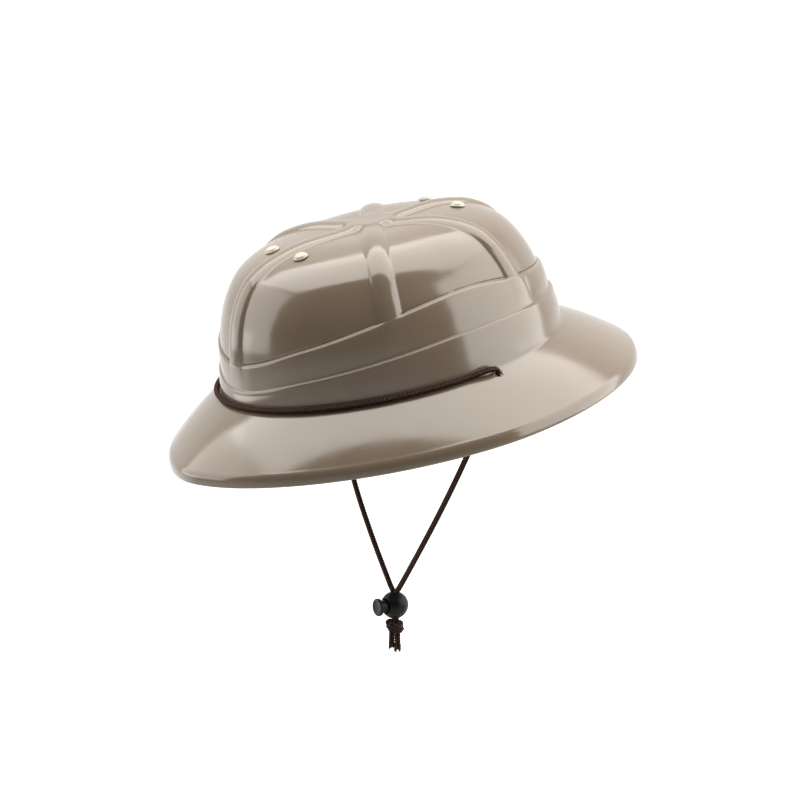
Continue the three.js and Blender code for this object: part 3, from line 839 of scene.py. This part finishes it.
def add_shell(material):
    rings = [*crown_rings(), *band_rings(), *brim_rings(), *inner_rings()]
    top = (0, 0, TOP_RISE + HUB_RISE)
    points, faces = skin(rings, top, (0, 0, TOP_RISE - WALL))
    piece = new_piece("moulded_shell", pitched(points), faces, material)
    profile = [(radius, CUTTER_REACH) for radius in (0, HOLE_RADIUS)]
    profile += [(radius, -CUTTER_REACH) for radius in (HOLE_RADIUS, 0)]
    drill, drill_faces = revolve(profile, HOLE_SIDES)
    cut_with(piece, [cutter_from(pitched(drill + hole_centre(side)), drill_faces) for side in (1, -1)])
    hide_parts("shell")
    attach(piece, "hat")
    return piece


def add_stud(name, forward, aside, material):
    """A domed stud on a thin flange, square to the crown where it sits."""
    azimuth = math.atan2(aside, forward)
    place = place_on_top(azimuth, math.hypot(forward, aside))
    foot = crown_point(azimuth, place, GAP)
    normal = Vector(crown_point(azimuth, place, GAP + 1) - foot)
    profile = [(0, STUD_HEIGHT)]
    for angle in STUD_DOME_ANGLES:
        reach = math.sin(angle) ** STUD_DOME_ROUNDING
        rise = math.cos(angle) ** STUD_DOME_ROUNDING
        profile.append((STUD_RADIUS * STUD_DOME_RADIUS * reach,
                        STUD_HEIGHT * (STUD_DOME_FOOT + (1 - STUD_DOME_FOOT) * rise)))
    profile += [(STUD_RADIUS * reach, STUD_HEIGHT * rise) for reach, rise in STUD_FLANGE]
    points, faces = revolve(profile, STUD_SIDES)
    turn = np.array(normal.to_track_quat("Z", "Y").to_matrix())
    piece = new_piece(f"stud_{name}", pitched(points @ turn.T + foot), faces, material)
    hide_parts(f"vent_stud_{name}")
    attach(piece, "hat")
    return piece


def along_x(points):
    """Turns points made about +Z so that +Z becomes +X, and puts them at the toggle."""
    points = np.asarray(points)
    return np.stack([points[:, 2], points[:, 1], -points[:, 0] - TOGGLE_DROP], 1)


def channel_cutter(from_x, to_x):
    """A slot with rounded sides for the two lengths of cord."""
    corners = np.linspace(0, 2 * math.pi, CHANNEL_SIDES, endpoint=False)
    middle = (from_x + to_x) / 2
    half = (to_x - from_x) / 2
    x = middle + half * np.sign(np.cos(corners)) * np.abs(np.cos(corners)) ** CHANNEL_ROUNDING
    y = CHANNEL_HALF_WIDTH * np.sign(np.sin(corners)) * np.abs(np.sin(corners)) ** CHANNEL_ROUNDING
    levels = (-TOGGLE_DROP + CUTTER_REACH, -TOGGLE_DROP - CUTTER_REACH)
    rings = [np.stack([x, y, np.full_like(x, level)], 1) for level in levels]
    poles = [(middle, 0, level) for level in levels]
    return cutter_from(*skin(rings, *poles))


def straight(radius, start, end, rows):
    """The part of a profile that keeps to one radius, in rows that stop short of its corners."""
    return [(radius, level) for level in np.linspace(start, end, rows)]


def add_toggle_body(material):
    """A ball with a collared bore for the plunger, a parting line and a slot for the cord."""
    mouth = math.asin((BORE_RADIUS + COLLAR_WIDTH) / BALL_RADIUS)
    front = BALL_RADIUS * math.cos(mouth)
    profile = [(0, BORE_END), (BORE_RADIUS - BORE_CORNER, BORE_END), (BORE_RADIUS, BORE_END + BORE_CORNER)]
    profile += straight(BORE_RADIUS, BORE_END + 1.5, front - 0.3, 8)
    profile += [(BORE_RADIUS + out, front + forward) for out, forward in COLLAR_SECTION]
    for angle in np.linspace(mouth, math.pi, BALL_ROWS)[:-1]:
        radius = BALL_RADIUS - SEAM_DEPTH * math.exp(-(((angle - math.pi / 2) / SEAM_SPREAD) ** 2))
        profile.append((radius * math.sin(angle), radius * math.cos(angle)))
    profile.append((0, -BALL_RADIUS))
    points, faces = revolve(profile, BALL_SIDES)
    piece = new_piece("toggle_ball", along_x(points), faces, material)
    cut_with(piece, [channel_cutter(-CHANNEL_HALF_DEPTH, CHANNEL_HALF_DEPTH)])
    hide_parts("toggle_body")
    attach(piece, "hat")
    return piece


def plunger_profile():
    """The plunger from the middle of its face back to the end of its stem."""
    profile = [(radius, PLUNGER_FACE - depth) for radius, depth in PLUNGER_DISH]
    for angle in np.linspace(0, math.pi / 2, 9)[1:]:
        profile.append((PLUNGER_RADIUS - PLUNGER_EDGE + PLUNGER_EDGE * math.sin(angle),
                        PLUNGER_FACE - PLUNGER_EDGE + PLUNGER_EDGE * math.cos(angle)))
    profile += straight(PLUNGER_RADIUS, PLUNGER_FACE - 1.5, PLUNGER_HEAD_BACK + 0.5, 5)
    profile += [
        (PLUNGER_RADIUS - 0.1, PLUNGER_HEAD_BACK + PLUNGER_BEVEL),
        (PLUNGER_RADIUS - 2 * PLUNGER_BEVEL, PLUNGER_HEAD_BACK),
        (NECK_RADIUS + PLUNGER_BEVEL, PLUNGER_HEAD_BACK),
        (NECK_RADIUS, PLUNGER_HEAD_BACK - PLUNGER_BEVEL),
    ]
    profile += straight(NECK_RADIUS, PLUNGER_HEAD_BACK - 0.6, NECK_END + 0.3, 5)
    profile += straight(STEM_RADIUS, NECK_END, STEM_BACK + 0.6, 7)
    profile += [
        (STEM_RADIUS - 0.2, STEM_BACK + PLUNGER_BEVEL),
        (STEM_RADIUS - 0.5, STEM_BACK),
        (0, STEM_BACK),
    ]
    return profile


def add_plunger(material):
    """A stem with a waist and a rounded push head, whose face is slightly dished inside a rim."""
    points, faces = revolve(plunger_profile(), PLUNGER_SIDES)
    piece = new_piece("toggle_push_plunger", along_x(points), faces, material)
    cut_with(piece, [channel_cutter(-CHANNEL_HALF_DEPTH, CHANNEL_HALF_DEPTH + PLUNGER_TRAVEL)])
    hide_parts("toggle_plunger")
    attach(piece, "plunger")
    return piece


def knot_point(reach, turn, tuck, level):
    """A place on a wrap of the knot, which is wider one way than the other."""
    lean = KNOT_TURN - math.pi / 2
    along = reach[0] * tuck * math.cos(turn)
    across = reach[1] * tuck * math.sin(turn)
    x = along * math.cos(lean) - across * math.sin(lean)
    y = along * math.sin(lean) + across * math.cos(lean)
    return (x, y, level)


def tucked_in(t, share):
    """How far out a wrap lies, from 0 where an end goes into the knot to 1."""
    return math.sqrt(min(1, t / share, (1 - t) / share))


def coil_route(top):
    route = []
    for t in np.linspace(0, 1, COIL_PLACES):
        turn = 2 * math.pi * COIL_TURNS * t + COIL_START
        tuck = (1 - COIL_TAPER * t) * tucked_in(t, COIL_TUCK)
        level = top - COIL_INSET - (KNOT_HEIGHT - 2 * COIL_INSET) * t + COIL_TILT * math.cos(turn)
        route.append(knot_point(COIL_REACH, turn, tuck, level))
    return route


def crossing_route(top):
    start, length = CROSSING_ARC
    route = []
    for t in np.linspace(0, 1, CROSSING_PLACES):
        level = top - CROSSING_INSET - (KNOT_HEIGHT - 2 * CROSSING_INSET) * t
        turn = math.pi * (start + length * t)
        route.append(knot_point(CROSSING_REACH, turn, tucked_in(t, CROSSING_TUCK), level))
    return route


def add_knot(material):
    """A stopper knot: a coil of cord, higher on one side, and a wrap that crosses it."""
    top = -TOGGLE_DROP - KNOT_TOP
    paths = [cord_curve(route, BRAID_STEP)[0] for route in (coil_route(top), crossing_route(top))]
    points, faces, heights = joined([braided_tube(path) for path in paths])
    piece = new_piece("stopper_knot", points, faces, material)
    keep_heights(piece, heights)
    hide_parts("cord_knot")
    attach(piece, "hat")
    return piece


def loose_yarn(start, bend, tip):
    """Points and faces of one thin yarn."""
    path, _ = cord_curve([start, bend, tip], YARN_STEP)
    sides, ups = frames_along(path)
    corners = np.linspace(0, 2 * math.pi, YARN_SIDES, endpoint=False)
    rings = [p + YARN_RADIUS * (np.sin(corners)[:, None] * u - np.cos(corners)[:, None] * s)
             for p, s, u in zip(path, sides, ups)]
    return skin(rings, path[0], path[-1])


def frayed_yarns(end, chance):
    """Loose yarns in clumps at the cut end of a cord."""
    yarns = []
    for clump in range(FRAY_CLUMPS):
        towards = 2 * math.pi * (clump + chance.uniform(0, CLUMP_TURN)) / FRAY_CLUMPS
        out = CORD_RADIUS * np.array([math.cos(towards), math.sin(towards), 0])
        reach = FRAY_LENGTH * chance.uniform(*CLUMP_REACH)
        for _ in range(CLUMP_YARNS):
            scatter = np.array([*chance.normal(0, CLUMP_SCATTER, 2), 0])
            drop = reach * chance.uniform(*YARN_REACH)
            start = end + out * CLUMP_OUT[0] + scatter + (0, 0, YARN_START)
            tip = end + out * CLUMP_OUT[1] + scatter * YARN_GATHER - (0, 0, drop)
            bend = (start + tip) / 2 + chance.normal(0, YARN_WAVE, 3)
            points, faces = loose_yarn(start, bend, tip)
            yarns.append((points, faces, np.full(len(points), chance.uniform(*YARN_HEIGHTS))))
    return yarns


def add_tail(name, side, length, material):
    """A short braided end whose last few millimetres fray into loose yarns."""
    top = -TOGGLE_DROP - KNOT_TOP - KNOT_HEIGHT - GAP
    whole = length + TAIL_TUCKED

    def middle(share):
        aside = side * (CORD_PAIR_HALF_SPACING - LOOSENED - TAIL_NARROWING + TAIL_SPREAD * share)
        return np.array([-aside * math.sin(KNOT_TURN), aside * math.cos(KNOT_TURN),
                         top + TAIL_TUCKED - share * whole])

    path, _ = cord_curve([middle(share) for share in (*TAIL_PLACES, 1 - FRAY_LENGTH / whole)], BRAID_STEP)
    chance = np.random.default_rng(FRAY_SEED + side)
    braid = braided_tube(path, CORD_RADIUS + LOOSENED)
    points, faces, heights = joined([braid, *frayed_yarns(path[-1], chance)])
    piece = new_piece(f"frayed_tail_{name}", points, faces, material)
    keep_heights(piece, heights)
    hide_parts(f"cord_tail_{name}")
    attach(piece, "hat")
    return piece


# Stage, light and camera

def add_camera():
    camera = bpy.data.objects.new("camera", bpy.data.cameras.new("camera"))
    camera.data.lens = CAMERA_LENS
    camera.data.sensor_width = CAMERA_SENSOR
    camera.data.shift_x, camera.data.shift_y = CAMERA_SHIFT
    towards = Vector(TO_CAMERA * math.cos(CAMERA_ELEVATION)) + Vector((0, 0, math.sin(CAMERA_ELEVATION)))
    camera.location = towards * CAMERA_DISTANCE
    camera.rotation_euler = (-towards).to_track_quat("-Z", "Y").to_euler()
    bpy.context.collection.objects.link(camera)
    bpy.context.scene.camera = camera


def add_floor():
    """A pale floor, brightly lit behind the hat and falling off towards the front."""
    material, nodes, links, shader = new_material("pale_floor")
    shader.inputs["Base Color"].default_value = FLOOR_TONE
    shader.inputs["Roughness"].default_value = FLOOR_ROUGHNESS
    place = nodes.new("ShaderNodeTexCoord")
    split = nodes.new("ShaderNodeSeparateXYZ")
    links.new(place.outputs["Object"], split.inputs["Vector"])
    shader.inputs["Emission Color"].default_value = WHITE
    glow = map_range(nodes, links, split.outputs["X"], FLOOR_GLOW_SPAN, (0, 1))
    links.new(glow, shader.inputs["Emission Strength"])
    mesh = bpy.data.meshes.new("floor")
    outline = bmesh.new()
    bmesh.ops.create_circle(outline, cap_ends=True, radius=FLOOR_RADIUS, segments=FLOOR_SIDES)
    outline.to_mesh(mesh)
    outline.free()
    mesh.materials.append(material)
    floor = bpy.data.objects.new("floor", mesh)
    floor.location = (0, 0, FLOOR_LEVEL)
    floor.rotation_euler = (0, 0, CAMERA_AZIMUTH + math.pi)
    bpy.context.collection.objects.link(floor)


def add_softbox(name, place, size, power):
    """A flat lamp that faces the hat and stands level."""
    light = bpy.data.lights.new(name, "AREA")
    light.shape = "RECTANGLE"
    light.size, light.size_y = size
    light.energy = power
    light.color = WARM_WHITE
    lamp = bpy.data.objects.new(name, light)
    lamp.location = place
    away = (Vector(place) - Vector(LIGHT_TARGET)).normalized()
    level = Vector((0, 0, 1)).cross(away).normalized()
    lamp.rotation_euler = Matrix((level, away.cross(level), away)).transposed().to_euler()
    bpy.context.collection.objects.link(lamp)


def add_backdrop_glow():
    """A world that is bright behind the hat, as a lit backdrop is, and dim towards the camera."""
    world = bpy.data.worlds.new("studio")
    world.use_nodes = True
    nodes = world.node_tree.nodes
    links = world.node_tree.links
    place = nodes.new("ShaderNodeTexCoord")
    facing = nodes.new("ShaderNodeVectorMath")
    facing.operation = "DOT_PRODUCT"
    facing.inputs[1].default_value = tuple(-TO_CAMERA)
    links.new(place.outputs["Generated"], facing.inputs[0])
    glow = map_range(nodes, links, facing.outputs["Value"], BACKDROP_SPAN, BACKDROP_GLOW, "SMOOTHSTEP")
    nodes["Background"].inputs["Color"].default_value = WHITE
    links.new(glow, nodes["Background"].inputs["Strength"])
    bpy.context.scene.world = world


def add_light():
    add_backdrop_glow()
    for name, ((right, behind, up), size, power) in SOFTBOXES.items():
        place = IMAGE_RIGHT * right - TO_CAMERA * behind + (0, 0, up)
        add_softbox(name, tuple(place), size, power)


def main():
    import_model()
    add_camera()
    bpy.context.scene.view_settings.view_transform = "Standard"
    yarn = cord_yarn()
    black = toggle_plastic()
    ball = add_toggle_body(black)
    plunger = add_plunger(black)
    knot = add_knot(yarn)
    tails = [add_tail(name, side, length, yarn) for name, (side, length) in TAILS.items()]
    add_cord("front_cord", "cord_band", band_route(), yarn, far_end="object", lay="taut")
    add_cord("hanging_cord_left", "cord_strand_left", strand_route(1), yarn, far_end="knot",
             lay="hanging", with_pieces=[knot, tails[0], ball, plunger])
    add_cord("hanging_cord_right", "cord_strand_right", strand_route(-1), yarn, far_end="knot",
             lay="hanging", with_pieces=[tails[1]])
    add_shell(shell_plastic())
    cream = stud_plastic()
    for name, (forward, aside) in STUD_PLACES.items():
        add_stud(name, forward, aside, cream)
    add_floor()
    add_light()


main()
